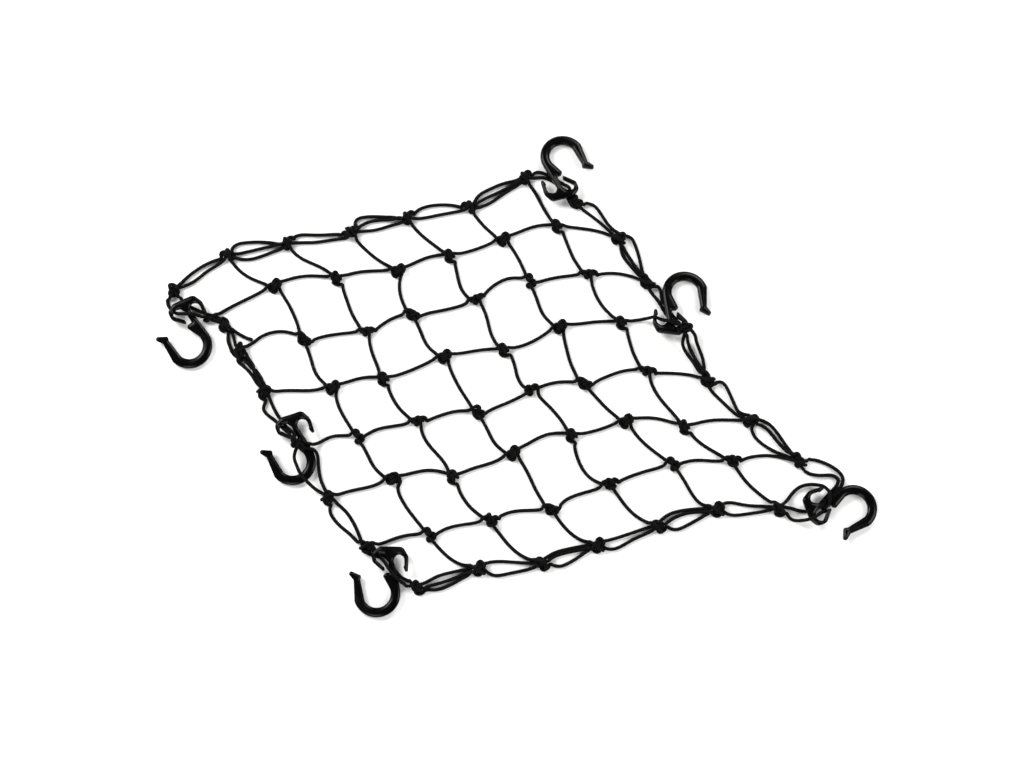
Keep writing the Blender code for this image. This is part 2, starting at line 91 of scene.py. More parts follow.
hookShape = {
    "thickness": 5.5,
    "tilt": 5.2,  # the eye end rests on the cord under it
    "throatOuter": 21.6,
    "throatInner": 13.6,
    "outerArc": (212, 40),  # degrees
    "innerArc": (49, 220),
    "arcStep": 5.0,
    "voxel": 0.42,
    "swell": 0.16,  # what smoothing takes off each side again
    "fuller": 0.32,  # how far the arms are moulded past their outline
    "softening": 0.5,
    "smoothing": 7,
    "crown": 3.7,  # how far in from its outline a hook's faces are rounded down
    "rim": 0.36,  # share of the full thickness left at the outline
    "parts": 20,  # in which the crowning is reckoned, to spare memory
}

# Hook outline, throat's middle at (0, 0), mouth towards +X, eye towards -Y: x, y, corner radius.
foot = [(24.6, -4.8, 1.5), (31, -8.4, 1.1), (30.5, -11.2, 1.1), (20.2, -10.5, 1.2), (19.7, -6.6, 1)]
neckStop = [(0, -17.6, 1.1), (-0.8, -20.4, 1.1)]
eye = [(-5, -22.4, 1.4), (1.8, -34.8, 3), (6, -37.6, 2), (12.6, -36.4, 3)]
snapArm = [(14.2, -30.2, 3), (2.4, -25.1, 1.1), (1, -21.8, 1.1), (14.6, -27, 5),
           (17.8, -35, 5), (12.4, -42.3, 2)]
finger = [(-7.4, -49.2, 4.5), (-15.2, -42.6, 8), (-19.6, -29.6, 1), (-17.8, -28.8, 0.8),
          (-14.9, -32.4, 0.7), (-15.4, -33.6, 0.7), (-12.5, -41.4, 5), (-4.6, -42.8, 4.5)]
shank = [(-2.6, -35.2, 4), (-12.4, -20.8, 6)]


tilt = math.radians(hookShape["tilt"])


def unit(angle):
    return np.array([math.cos(math.radians(angle)), math.sin(math.radians(angle)), 0.0])


def heading(a, b):
    return math.degrees(math.atan2(b[1] - a[1], b[0] - a[0]))


def turned(x, y, angle):
    c, s = math.cos(math.radians(angle)), math.sin(math.radians(angle))
    return c * x - s * y, s * x + c * y


# Place in the net's frame of a place given in the view's own axes.
def fromTable(x, y, z=None):
    mx, my = net["tableMiddle"]
    u, v = turned(x - mx, y - my, net["tableTurn"])
    return np.array([u - net["middle"][0], v - net["middle"][1], cord["lie"] if z is None else z])


# Place in the net's frame of a point in a hook's plan at a plain height.
def hookPoint(hook, x, y, z):
    (cx, cy), turn = hookPlaces[hook]
    u, v = turned(x, y * math.cos(tilt), turn)
    return np.array([cx - net["middle"][0] + u, cy - net["middle"][1] + v, z])


def underside(y):
    return (hookShape["throatOuter"] - y) * math.tan(tilt)


def topside(y):
    return underside(y) + hookShape["thickness"] / math.cos(tilt)


tying = {
    "nodes": 56,  # along each of a knot's two strands
    "strandLength": 44.0,
    "reach": 9.5,  # from a knot's middle to where its strands come out
    "core": 4.0,  # radius of the lump, where a way point gives no direction
    "clearance": 2.6,  # of the way points from a knot's ends
    "lead": 2.6,  # length that keeps the direction given by the knot
    "hookLead": 5,  # the same where a mesh cord comes from a hook
    "leastAngle": 26,  # between the two strands on the same side
    "rounds": 170,
    "passes": 4,  # of pushing apart and pulling to length in a round
    "startSize": 2.1,
    "startDepth": 0.85,
    "startDiameter": 0.75,
    "startHeight": 6,
    "startAcross": 0.3,  # of each strand, to its side
    "startAbove": 0.4,
    "jitter": 0.05,
    "seed": 4,
    "outBy": 0.4,  # share of the rounds after which the ends are out,
    "thickBy": 0.7,  # the cord has its thickness
    "shortBy": 0.8,  # and its length
    "bend": 0.2,
    "sag": 0.01,
    "ownReach": 1.55,  # diameters along a strand before it presses on itself
    "listEvery": 6,  # rounds between two lists of what lies near
    "listMargin": 1.6,
    "tail": 14,  # nodes at each end that aren't part of the lump
}


def rhombusPlace(i, j):
    half = net["cells"] / 2
    step = unit(net["columnAngle"]) * net["columnPitch"]
    dx, dy = drift[i][j]
    x = (j - half) * net["rowPitch"] + step[0] * (i - half) + dx - net["middle"][0]
    y = step[1] * (i - half) + dy - net["middle"][1]
    return np.array([x, y, 0.0])


# Open overhand knot, loosely laid, as evenly spaced points.
def looseOverhand(count):
    t = np.linspace(-2.15, 2.15, count * 8)
    x = (t ** 3 - 3 * t) * tying["startSize"]
    y = (t ** 4 - 4 * t ** 2 + 1.5) * tying["startSize"]
    z = (t ** 5 - 10 * t) * tying["startDepth"]
    z *= 1 - 0.6 * np.clip((np.abs(t) - 1.8) / 0.35, 0, 1)
    return respaced(np.stack([x, y, z], 1), count)


def along(points):
    return np.concatenate([[0.0], np.cumsum(np.linalg.norm(np.diff(points, axis=0), axis=1))])


# Points of a line at the wanted distances along it.
def sampled(points, s, want):
    return np.stack([np.interp(want, s, points[:, k]) for k in range(3)], 1)


def respaced(points, count):
    s = along(points)
    return sampled(points, s, np.linspace(0, s[-1], count))


# Two angles, pushed apart until they differ by the least turn.
def spread(a, b, least):
    apart = (b - a + 180) % 360 - 180
    if abs(apart) >= least:
        return a, b
    push = (least - abs(apart)) / 2 * (1 if apart >= 0 else -1)
    return a - push, b + push


# Pushes the second point of every pair on and the first one back, less where many pushes meet.
def pushPairs(points, i, j, back, on):
    total = len(points)
    crowd = np.sqrt(np.maximum(1, np.bincount(i, minlength=total) + np.bincount(j, minlength=total)))
    for k in range(3):
        points[:, k] += (np.bincount(j, on[:, k], total) - np.bincount(i, back[:, k], total)) / crowd


# Pulls every knot tight at once. Each gets its two strands, as points round its own middle.
# Both strands start as one loose overhand knot, mirrored by turns. The cord then thickens to its
# real diameter while its length shrinks and its four ends move to where they leave the knot.
def tieKnots(knots):
    n, count = tying["nodes"], len(knots)
    total, slim, diameter = 2 * n, tying["startDiameter"], 2 * cord["radius"]
    rng = np.random.default_rng(tying["seed"])
    shape = looseOverhand(n)
    ends = np.array([angles[k] for k in knots])  # in 1, in 2, out 1, out 2
    p = np.zeros((count, total, 3))
    for row, (i, j) in enumerate(knots):
        a1, a2, b1, b2 = [unit(a) for a in angles[i, j]]
        axis = (b1 + b2) / np.linalg.norm(b1 + b2) - (a1 + a2) / np.linalg.norm(a1 + a2)
        turn = math.degrees(math.atan2(axis[1], axis[0]))
        left = 1 if (a1 - a2) @ unit(turn + 90) + (b1 - b2) @ unit(turn + 90) >= 0 else -1
        for strand, side in ((0, left), (1, -left)):
            q = shape.copy()
            q[:, 2] = q[:, 2] * (1 if (i + j) % 2 else -1) + side * tying["startAbove"]
            q[:, 1] = q[:, 1] * (1 if i % 2 else -1) + side * tying["startAcross"]
            x, y = turned(q[:, 0], q[:, 1], turn)
            p[row, strand * n:(strand + 1) * n] = np.stack([x, y, q[:, 2] + tying["startHeight"]], 1)
    p += rng.normal(0, tying["jitter"], p.shape)
    tips = np.array([0, n, n - 1, total - 1])
    start = p[:, tips].copy()
    radians = np.radians(ends)
    goal = np.stack([np.cos(radians), np.sin(radians), np.zeros_like(radians)], 2) * tying["reach"]
    goal[:, :, 2] = cord["lie"]
    first = np.linalg.norm(np.diff(p[:, :n], axis=1), axis=2).mean()
    last = tying["strandLength"] / (n - 1)
    a, b = np.triu_indices(total, 1)
    same = (a // n) == (b // n)
    flatP = p.reshape(-1, 3)
    for turnNumber in range(tying["rounds"]):
        f = turnNumber / tying["rounds"]
        thick = slim + (diameter - slim) * min(1, f / tying["thickBy"])
        rest = first + (last - first) * min(1, f / tying["shortBy"])
        pulled = min(1, f / tying["outBy"])
        pulled = pulled * pulled * (3 - 2 * pulled)
        if turnNumber % tying["listEvery"] == 0:
            use = ~same | (b - a > math.ceil(tying["ownReach"] * thick / rest))
            ia, ib = a[use], b[use]
            apart = p[:, ib] - p[:, ia]
            near = (apart * apart).sum(2) < (thick + tying["listMargin"]) ** 2
            row, pair = np.nonzero(near)
            left = row * total + ia[pair]
            right = row * total + ib[pair]
        for _ in range(tying["passes"]):
            v = flatP[right] - flatP[left]
            far = np.sqrt((v * v).sum(1)) + 1e-9
            hit = far < thick
            i, j = left[hit], right[hit]
            push = v[hit] * ((thick - far[hit]) * 0.5 / far[hit])[:, None]
            pushPairs(flatP, i, j, push, push)
            for strand in (0, 1):
                q = p[:, strand * n:(strand + 1) * n]
                for odd in (0, 1, 0, 1):
                    ahead = q[:, odd + 1::2]
                    behind = q[:, odd:-1:2][:, :ahead.shape[1]]
                    v = ahead - behind
                    far = np.sqrt((v * v).sum(2))[:, :, None] + 1e-9
                    fix = v * (0.5 * (far - rest) / far)
                    behind += fix
                    ahead -= fix
                q[:, 1:-1] += tying["bend"] * ((q[:, :-2] + q[:, 2:]) / 2 - q[:, 1:-1])
            p[:, :, 2] = np.maximum(p[:, :, 2] - tying["sag"], cord["radius"])
            p[:, tips] = start + (goal - start) * pulled
    tail = tying["tail"]
    lump = np.concatenate([p[:, tail:n - tail], p[:, n + tail:-tail]], axis=1).mean(axis=1)
    p[:, :, :2] -= lump[:, None, :2]
    return [(q[:n], q[n:]) for q in p]


low = 1.7  # height of a cord's middle under a hook
gap = 0.35  # between a hook and what lies on it or under it
touch = gap + cord["radius"]

# Ways of a cord past a hook: x and y in the hook's plan, height of the cord's middle.
underNeck = [(-13.5, -19.4, underside(-19.4) - touch), (-6.6, -22.8, underside(-20) - touch),
             (-1.4, -26.4, 3), (3.6, -30.6, 7.8)]
overBase = [(8, -34.4, 12.3), (10.8, -38.4, topside(-38.4) + touch + 0.1),
            (13, -43, topside(-43) + touch)]
underBase = [(16.4, -47, 2.6), (12.6, -41, underside(-38) - touch),
             (8.6, -36.2, underside(-34) - touch), (4.6, -32.2, 6), (0.8, -28.2, 11.2)]
overNeck = [(-3.6, -24.2, topside(-24) + touch + 0.3), (-9, -20.8, topside(-21) + touch),
            (-15.5, -17.6, topside(-18) + touch)]

# Knots that lie on a hook or close against one: hook, place in its plan, level.
restingKnots = {
    (0, 7): ("top", 15.4, -45.6, 0),
    (3, 7): ("right_upper", 14.7, -35.6, topside(-36) + gap),
    (1, 0): ("left_corner", -34.2, -18.2, 0),
    (4, 0): ("left", -4.6, -15.4, topside(-19.5) + gap),
    (6, 0): ("bottom", 24, -38.3, 0),
}

# Border stretches in order: what the inner and the outer strand pass between two knots.
# With a hook's name the points are in its plan, without one in the view's own axes.
topWays = [
    ([(-313, 101), (-306, 105.2), (-298.4, 113.6)], [(-316, 108.4), (-306.5, 116), (-299, 121)]),
    ([(-270, 128), (-258, 125), (-240, 131)], [(-275, 137), (-270, 142), (-255, 144), (-232, 143)]),
    ([(-212, 144), (-195, 143), (-178, 146)], [(-214, 150), (-208, 152), (-190, 151)]),
    ([(-152, 155), (-138, 155), (-122, 160)], [(-154.3, 167.5), (-140.7, 170.6), (-125, 170)]),
    ([(-85, 169), (-68, 173)], [(-97, 175), (-85, 181), (-70, 183), (-50, 182)]),
    ([(-22.2, 183.6), (-10.3, 192.8)], [(-35.5, 191.6), (-21.2, 199.4), (-8.9, 205.4), (2, 208.6)]),
    ("top",
     [(-24.5, -22.6, low), (-18.5, -21.6, low), (-13, -22.8, low), (-6.8, -26.2, low),
      (-1, -30.6, low), (6.4, -37.6, low)],
     [(-28.6, -18.4, 2.6), (-24, -16.6, 2.2), (-19, -17, 1.8)] + underNeck + overBase),
]
rightWays = [
    ([(77, 172), (92, 159)], [(79, 184.6), (88, 172.4), (97, 157.6)]),
    ([(102, 145), (107, 130), (118, 117)], [(110, 149), (120, 142), (124, 130), (128, 113)]),
    ("right_upper",
     [(-28.1, -2.3, 2.8), (-22.8, -6.2, 2.4), (-17, -12.2, low), (-12.2, -17.4, low), underNeck[1],
      (-1.4, -25.6, 3), (4.2, -28.8, 8), (7.6, -30.2, 12.6)],
     [(-26.8, -14.2, 2.6), (-21, -17.2, 2.2), (-15.4, -21, low), (-9.6, -26, low), (-3.4, -29.4, 2.6),
      (2.2, -32, 6.4), (6.2, -34.4, 12.4)]),
    ("right_upper",
     [(23.8, -37, 11), (29.4, -40.2, 6.6), (36.1, -46, 3), (45, -55.6, 2.6)],
     [(18.9, -49.4, 7.6), (25.8, -54.5, 3.2), (37.8, -61.1, 2.6)]),
    ([(191.5, -6), (196.5, -12.6), (205, -22), (214, -30.5)],
     [(202, 3.4), (207.6, -7), (213, -20), (218, -31)]),
    ([(228, -49), (233.3, -55.8), (242.9, -63.4), (253, -69)],
     [(243.7, -37), (252, -47), (259.6, -59)]),
]
bottomWays = [
    ([(-72.3, -188.5), (-56.9, -184.6)], [(-72.1, -202.2), (-56.8, -196.3)]),
    ([(-25, -178), (20, -178)], [(-18, -189), (-5, -186)]),
    ([(36, -166.1), (48, -163.7)], [(43.2, -180.3), (57.6, -173.4)]),
    ([(110, -148)], [(92, -165), (103, -160), (115, -152)]),
    ([(143.6, -130.9), (153.4, -126.6), (168, -123.9)], [(153.1, -145.1), (165.3, -139.5)]),
    ([(200, -120), (215, -119), (232, -121)], [(205, -131), (225, -128)]),
    ("right_corner",
     [(10.6, -60, 2.6), (12.6, -54.5, 5.2), (13.2, -48.6, 10.6)] + overBase[::-1] + underNeck[::-1]
     + [(-21, -10.6, low), (-27.2, -7.8, 2.4), (-34.4, -10.6, 2.6), (-41.4, -19.6, 2.6),
        (-46.8, -32, 2.6), (-49.2, -39.6, 2.6)],
     [(0.6, -62, 3), (1.2, -55.5, 2.6), (3, -46, low), (2, -37.5, low), (-7.5, -29, low),
      (-14.6, -22, low), (-20.8, -15.8, low), (-27.4, -12.6, 2.4), (-32.4, -17.6, 2.6),
      (-32, -29.8, 2.6), (-33.6, -40.6, 2.6)]),
]
leftWays = [
    ("left_corner",
     [(18.4, -50, 2.6), (18, -43.4, 2.6), (15.6, -38.6, 2.9), (11.6, -34.8, 4), (7.4, -32.4, 8),
      (3.4, -30.9, 11.8), (-0.8, -30, 12.8), (-6.3, -29.6, 12.5), (-11.4, -28.6, 9.4),
      (-15.6, -26.8, 5.4), (-19.6, -25.8, 2.6), (-25, -23.2, low)],
     [(6.6, -51, 2.6), (1.4, -43.6, 2.2), (-5.9, -38.4, low), (-13.4, -34.4, low),
      (-19.6, -30.4, low), (-26, -26.4, low)]),
    ([(-266, 44), (-260, 36)], [(-276, 44), (-268, 34), (-259, 27)]),
    ([(-246, 12)], [(-256, 16), (-246, 2)]),
    ("left",
     [(20, -53, 2.6)] + underBase + [(-3.4, -24.8, 12.2)],
     [(30.6, -60, 3), (30.8, -53.6, 2.6), (27, -47.6, 2.6), (21, -43.6, 2.4), (15.2, -38.4, 2.8),
      (11, -33.8, 4), (7.2, -30, 8), (2.8, -25.6, 12.2)]),
    ("left",
     [(-2.6, -5, 9.8), (-4, 3.6, 7.8), (-7.6, 12.5, 8.4), (-13.6, 19, 8), (-21, 25.6, 4.6),
      (-26, 30, 2.6)],
     [(-18.8, -11.6, 10.8), (-23.2, -8.4, 6.4), (-24, 0.6, 2.6), (-26.4, 16, 2.4),
      (-29.6, 26.5, 2.6)]),
    ([(-170, -117), (-160, -122), (-148, -140)], [(-175, -122), (-165, -138), (-150, -150)]),
    ("bottom",
     [(12, -34.6, 2.9), (8, -32.8, 4.4), (3.8, -30.2, 8), (0.4, -27.4, 11)] + overNeck
     + [(-19, -17.4, 9), (-22.4, -17.6, 5.8), (-25.2, -17.8, 3.8)],
     [(12, -39, low), (4, -36, low), (-4.6, -29.6, low), (-11, -24.8, low), (-17, -21.8, low),
      (-23, -20.8, low)]),
]

# Last stretches of the rows that end at a knot on a hook or close against one.
rowEnds = {
    (4, 0): ("left", [(-19.6, -16, 10.2), (-26.6, -21.6, 5.2), (-33, -25.4, 2.8), (-39.3, -27.4, 2.6)]),
    (3, 7): ("right_upper", [(-36, -45.6, 2.6), (-29, -42.6, 6), (-22.4, -39.8, 11),
                             (-16.4, -37.6, 13.4), (-9, -36.2, 13.6), (-3, -35.6, 13.6)]),
}

# Third strands laid over the border: their two knots and what they pass.
thirdStrands = [
    ((0, 1), (0, 2), [(-262, 133), (-250, 136), (-238, 139)]),
    ((0, 3), (0, 4), [(-145.2, 163.8), (-129.4, 166.9)]),
    ((0, 5), (0, 6), [(-27, 189.4), (-10.3, 197)]),
    ((1, 7), (2, 7), [(110, 136), (118, 122)]),
    ((3, 7), (4, 7), [(170, 40), (175, 28)]),
    ((5, 7), (6, 7), [(241.7, -42), (248.4, -51), (256, -61.6)]),
    ((7, 0), (7, 1), [(-64.5, -194), (-49.2, -188.1)]),
    ((7, 2), (7, 3), [(38.3, -169.3), (52.8, -164.8)]),
    ((7, 4), (7, 5), [(153.3, -132), (163, -127.9)]),
    ((2, 0), (3, 0), [(-252, 22), (-244, 4)]),
]

# Strands that end free: their knot and what they pass, up to the cut end.
looseEnds = [
    ((1, 0), [(-270, 53.4, 3.4), (-264.7, 50.1, 2.4), (-251.2, 42.5, 1.8)]),
    ((7, 6), "right_corner",
     [(-8, -62.2, 3), (-15.6, -57.2, 3), (-20.6, -51.6, 3.4), (-23, -45.2, 4), (-23.4, -37.6, 5),
      (-21.4, -30, 7), (-17.8, -24.4, 9.8), (-13.6, -21.6, 12), (-8, -22.4, 12.8), (-3, -25, 11),
      (-0.6, -28.4, 7), (0.4, -30.6, 3.6)]),
]


def wayPoints(*way):
    *hook, points = way
    return [hookPoint(*hook, *p) if hook else fromTable(*p) for p in points]


cells = net["cells"]
places = {(i, j): rhombusPlace(i, j) for i in range(cells + 1) for j in range(cells + 1)}
del places[cells, cells]  # the last corner has no knot
places.update({knot: hookPoint(*at) for knot, at in restingKnots.items()})

# One row's end is hitched round the border strands beside their knot.
hitchPlaces = {**places, (1, 0): hookPoint("left_corner", -22.6, -27, 0)}

# Each side's ways, its knots in order, and whether its strands run through the first and the last.
borderSides = {
    "top": (topWays, [(0, j) for j in range(cells + 1)], True, True),
    "right": (rightWays, [(i, cells) for i in range(cells)], False, True),
    "bottom": (bottomWays, [(cells, j) for j in range(cells)] + [(cells - 1, cells)], True, False),
    "left": (leftWays, [(i, 0) for i in range(cells + 1)], False, False),
}


# How a mesh cord's free stretch lies: degrees off the straight line where it leaves its knot and
# where it reaches the next.
bends = {
    "slight": (6, -8), "arch": (17, -19), "crest": (18, -10), "high": (28, -46),
    "early": (17, -4), "late": (7, -23), "brow": (11, -33), "fall": (-2, -12),
    "hang": (-4, 6), "deep": (-12, 11), "wave": (9, 11), "back": (11, -7),
    "easy": (-8, 8), "bow": (-17, 23), "first": (-15, 6), "last": (-3, 17),
    "steep": (-6, 36), "full": (-28, 46), "swept": (-17, -5), "double": (9, 23),
}
# Rows 1 to 6 from left to right, a line each.
rowBends = [line.split() for line in (
    "slight arch early late hang late slight",
    "high slight late hang high slight crest",
    "wave late hang fall deep fall crest",
    "late early late hang arch late slight",
    "wave brow wave brow hang arch early",
    "late early crest early slight early crest",
)]
# Columns 1 to 6 side by side, a line for each mesh from the top.
columnBends = [line.split() for line in (
    "bow swept last easy last wave",
    "back last bow steep back last",
    "steep easy steep double steep bow",
    "first bow easy double last last",
    "steep swept steep back last first",
    "first bow wave full first first",
    "bow bow bow bow steep first",
)]


def rowTurn(i, j):
    return bends[rowBends[i - 1][j]]


def columnTurn(i, j):
    return bends[columnBends[i][j - 1]]


# Direction from a knot to the first of its strand's points that lies clear of the lump.
def outward(a, points, fallback):
    for p in points:
        if np.linalg.norm(p[:2] - a[:2]) > tying["core"]:
            return heading(a, p)
    return heading(a, fallback)


# Every stretch of the border: its side, its two knots, which ends of theirs it meets (0 for in and
# 2 for out), what its strands pass, and whether that is a hook.
legs = []
for side, (sideWays, line, _, _) in borderSides.items():
    for k, (*hook, inner, outer) in enumerate(sideWays):
        startsAt = 0 if (side, k) == ("left", 0) else 2
        endsAt = 2 if (side, k) == ("bottom", len(line) - 2) else 0
        ways = [wayPoints(*hook, way) for way in (inner, outer)]
        legs.append((side, line[k], startsAt, line[k + 1], endsAt, ways, bool(hook)))


# Directions in which the four ends of every knot leave it.
def knotAngles():
    angles = {}
    for i in range(1, cells):
        for j in range(1, cells):
            here = places[i, j]
            rowIn = heading(places[i, j - 1], here) + rowTurn(i, j - 1)[1] + 180
            rowOut = heading(here, places[i, j + 1]) + rowTurn(i, j)[0]
            columnIn = heading(places[i - 1, j], here) + columnTurn(i - 1, j)[1] + 180
            columnOut = heading(here, places[i + 1, j]) + columnTurn(i, j)[0]
            angles[i, j] = [rowIn, columnIn, rowOut, columnOut]
    for _, a, startsAt, b, endsAt, ways, _ in legs:
        for strand, way in enumerate(ways):
            for knot, end, points, other in ((a, startsAt, way, b), (b, endsAt, way[::-1], a)):
                leaves = angles.setdefault(knot, [None] * 4)
                leaves[strand + end] = outward(places[knot], points, places[other])
    for knot, (in1, in2, out1, out2) in angles.items():
        least = tying["leastAngle"]
        angles[knot] = [*spread(in1, in2, least), *spread(out1, out2, least)]
    return angles


angles = knotAngles()
knotOrder = sorted(angles)
tied = tieKnots(knotOrder)
knotStrands = {k: [s + places[k] for s in pair] for k, pair in zip(knotOrder, tied)}
print("knots tied:", len(knotOrder))


# Centripetal curve through every point, as points a short step apart.
def curveThrough(points):
    p = [np.asarray(q, float) for q in points]
    kept = [p[0]]
    for q in p[1:]:
        if np.linalg.norm(q - kept[-1]) > cord["leastStep"]:
            kept.append(q)
    p = [2 * kept[0] - kept[1]] + kept + [2 * kept[-1] - kept[-2]]
    line = []
    for a, b, c, d in zip(p, p[1:], p[2:], p[3:]):
        t1 = math.sqrt(np.linalg.norm(b - a))
        t2 = t1 + math.sqrt(np.linalg.norm(c - b))
        t3 = t2 + math.sqrt(np.linalg.norm(d - c))
        count = max(2, int(np.linalg.norm(c - b) / cord["curveStep"]))
        for t in np.linspace(t1, t2, count, endpoint=False):
            ab = (t1 - t) / t1 * a + t / t1 * b
            bc = (t2 - t) / (t2 - t1) * b + (t - t1) / (t2 - t1) * c
            cd = (t3 - t) / (t3 - t2) * c + (t - t2) / (t3 - t2) * d
            abc = (t2 - t) / t2 * ab + t / t2 * bc
            bcd = (t3 - t) / (t3 - t1) * bc + (t - t1) / (t3 - t1) * cd
            line.append((t2 - t) / (t2 - t1) * abc + (t - t1) / (t2 - t1) * bcd)
    return np.array(line + [p[-2]])


# The points that lie outside the knots at a stretch's two ends.
def clearOf(points, *knots):
    near = tying["reach"] + tying["clearance"]
    return [p for p in points if all(np.linalg.norm(p[:2] - places[k][:2]) > near for k in knots)]


# Strand of the border from one knot's end to another's, past the given points.
def stretch(strand, a, startsAt, b, endsAt, points):
    start = knotStrands[a][strand][-1 if startsAt else 0]
    stop = knotStrands[b][strand][-1 if endsAt else 0]
    short = min(tying["lead"], np.linalg.norm(stop - start) / 3)
    leave = unit(angles[a][strand + startsAt]) * short
    arrive = unit(angles[b][strand + endsAt]) * short
    return curveThrough([start, start + leave, *clearOf(points, a, b), stop + arrive, stop])


# Free stretch of a mesh cord: it keeps the directions that its two knots give it.
def swing(start, leave, stop, arrive):
    reach = np.linalg.norm(stop - start) * cord["swing"]
    p, q = start + unit(leave) * reach, stop + unit(arrive) * reach
    t = np.linspace(0, 1, cord["swingPoints"])[:, None]
    s = 1 - t
    return s ** 3 * start + 3 * s * s * t * p + 3 * s * t * t * q + t ** 3 * stop


# Last points of a mesh cord at a border knot: out towards the cord, aside, up.
hitchedOver = [(9.4, -1, 1.8), (7.2, -0.9, 4.6), (4.2, -0.5, 8), (0.4, 0, 9.8), (-3.4, 0.5, 7.8),
               (-5.2, 0.8, 4.6), (-4.6, 1, 2.4)]
tuckedIn = [(9.4, -1, 1.8), (6.6, -0.6, 3.4), (3.2, 0, 5), (0.2, 0.4, 5)]


# The end of a mesh cord, hitched over a border knot, or only tucked into one that lies on a hook.
def hitch(knot, angle):
    here = hitchPlaces[knot]
    e = unit(angle)
    s = np.array([-e[1], e[0], 0.0])
    way = tuckedIn if here[2] > 0 else hitchedOver
    return [here + e * x + s * y + np.array([0, 0, z]) for x, y, z in way]


strands = []


# Adds a strand: its stretches with how freely each gives way, the solid that it stands for,
# and whether its ends are held where they are.
def addStrand(name, stretches, solid=None, held=False):
    points, give = [], []
    for line, ease in stretches:
        points.append(line if not points else line[1:])
        give.append(np.full(len(points[-1]), ease))
    line, ease = np.concatenate(points), np.concatenate(give)
    s = along(line)
    count = max(4, round(s[-1] / cord["nodeSpacing"]) + 1)
    want = np.linspace(0, s[-1], count)
    strands.append({"name": name, "solid": solid, "held": held, "points": sampled(line, s, want),
                    "give": np.interp(want, s, ease)})


inKnot, pastHook, looseEnd, free = 0.15, 0.35, 0.5, 1.0  # how freely a stretch gives way


# A row or column cord, through its knots, with both ends hitched over the border.
def meshCord(name, solid, knots, strand):
    first, last = knots[0], knots[-1]
    line = []
    for a, b in zip(knots, knots[1:]):
        turns = (rowTurn if strand == 0 else columnTurn)(*a)
        start = None if a == first else knotStrands[a][strand][-1]
        stop = None if b == last else knotStrands[b][strand][0]
        way = rowEnds.get(a if a == first else b) if strand == 0 else None
        points = clearOf(wayPoints(*way), a, b) if way else []
        leave, arrive = angles[a][strand + 2], angles[b][strand]
        if a == first and way:
            over = hitch(a, heading(hitchPlaces[a], points[0]))[::-1]
            curves = [curveThrough(over + points + [stop + unit(arrive) * tying["hookLead"], stop])]
        elif a == first:
            leave = heading(hitchPlaces[a], stop) + turns[0]
            over = hitch(a, leave)[::-1]
            curves = [curveThrough(over), swing(over[-1], leave, stop, arrive)]
        elif b == last and way:
            over = hitch(b, heading(hitchPlaces[b], points[-1]))
            curves = [curveThrough([start, start + unit(leave) * tying["hookLead"]] + points + over)]
        elif b == last:
            arrive = heading(start, hitchPlaces[b]) + turns[1] + 180
            over = hitch(b, arrive)
            curves = [swing(start, leave, over[0], arrive), curveThrough(over)]
        else:
            curves = [swing(start, leave, stop, arrive)]
        line += [(curve, free) for curve in curves]
        if b != last:
            line.append((knotStrands[b][strand], inKnot))
    addStrand(name, line, solid)


for i in range(1, cells):
    meshCord("net_row_%d" % i, "row_cord_%d" % i, [(i, j) for j in range(cells + 1)], 0)
for j in range(1, cells):
    meshCord("net_column_%d" % j, "column_cord_%d" % j, [(i, j) for i in range(cells + 1)], 1)

for side, (_, line, throughFirst, throughLast) in borderSides.items():
    for strand, word, solid in ((0, "inner", "knotted"), (1, "outer", "free")):
        run = [(knotStrands[line[0]][strand], inKnot)] if throughFirst else []
        for _, a, startsAt, b, endsAt, ways, atHook in [leg for leg in legs if leg[0] == side]:
            part = stretch(strand, a, startsAt, b, endsAt, ways[strand])
            run.append((part, pastHook if atHook else free))
            if b != line[-1] or throughLast:
                run.append((knotStrands[b][strand], inKnot))
        addStrand("edge_%s_%s" % (side, word), run, "border_%s_%s" % (side, solid), True)

laidIn = {
    "height": 5.4,
    "thirdTip": [(3, 7.5), (7, 6.5)],  # out from a knot's middle and up
    "looseTip": [(-2, 8.6), (3, 8.6), (7.4, 6.0)],
}


def tipOf(knot, towards, steps):
    e = unit(heading(places[knot], towards))
    return [places[knot] + e * out + np.array([0, 0, up]) for out, up in steps]


for n, (a, b, way) in enumerate(thirdStrands):
    points = [fromTable(x, y, laidIn["height"]) for x, y in way]
    start, stop = tipOf(a, points[0], laidIn["thirdTip"]), tipOf(b, points[-1], laidIn["thirdTip"])
    line = curveThrough(start + clearOf(points, a, b) + stop[::-1])
    addStrand("edge_third_%d" % (n + 1), [(line, free)])
for n, (knot, *way) in enumerate(looseEnds):
    points = wayPoints(*way)
    line = curveThrough(tipOf(knot, points[0], laidIn["looseTip"]) + clearOf(points, knot))
    addStrand("edge_end_%d" % (n + 1), [(line, looseEnd)])
metres = sum(along(s["points"])[-1] for s in strands) * mm
print("strands laid:", len(strands), "metres:", round(metres, 2))


def arc(radius, start, end, step):
    count = max(2, round(abs(end - start) / step))
    turns = [math.radians(start + (end - start) * k / count) for k in range(count + 1)]
    return [Vector((radius * math.cos(t), radius * math.sin(t))) for t in turns]


# Corner rows to points, each corner rounded off with its own radius.
def rounded(corners, before, after, step):
    line = [(before, 0)] + [(Vector((x, y)), r) for x, y, r in corners] + [(after, 0)]
    points = []
    for (a, _), (b, size), (c, _) in zip(line, line[1:], line[2:]):
        u, v = (a - b).normalized(), (c - b).normalized()
        half = math.acos(u.dot(v)) / 2
        reach = min(size / math.tan(half), 0.49 * (a - b).length, 0.49 * (c - b).length)
        radius = reach * math.tan(half)
        centre = b + (u + v).normalized() * (radius / math.sin(half))
        start = b + u * reach - centre
        turn = (b + v * reach - centre).angle_signed(start)
        steps = max(1, math.ceil(abs(turn) / math.radians(step)))
        points += [centre + Matrix.Rotation(turn * s / steps, 2) @ start for s in range(steps + 1)]
    return points


